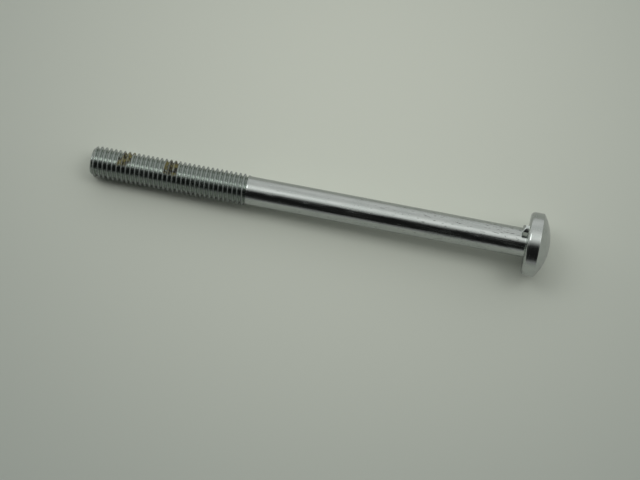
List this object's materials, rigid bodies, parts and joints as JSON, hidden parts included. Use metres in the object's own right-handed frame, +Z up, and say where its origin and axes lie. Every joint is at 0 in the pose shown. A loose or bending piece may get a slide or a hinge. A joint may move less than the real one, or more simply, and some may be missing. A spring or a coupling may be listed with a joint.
{
  "type": "round-head bolt with locating nib",
  "caption": "Long bright-plated steel bolt with a domed round head, a small locating nib under the head, a plain shank and a threaded end",
  "frame": {"origin": "middle of the bolt's box, on the surface it lies on", "axes": "+X along the bolt towards its head, +Z up. The bolt lies as it comes to rest, on the rim of its head and the first crest of its thread, so its axis rises 2.08 degrees towards the head"},
  "size_m": [0.1464, 0.02, 0.0201],
  "materials": {
    "plated_steel": "bright plated steel with fine lengthwise scratches and some dried grease in the thread"
  },
  "bodies": {
    "root": {"bolt": "plated_steel"}
  },
  "joints": []
}
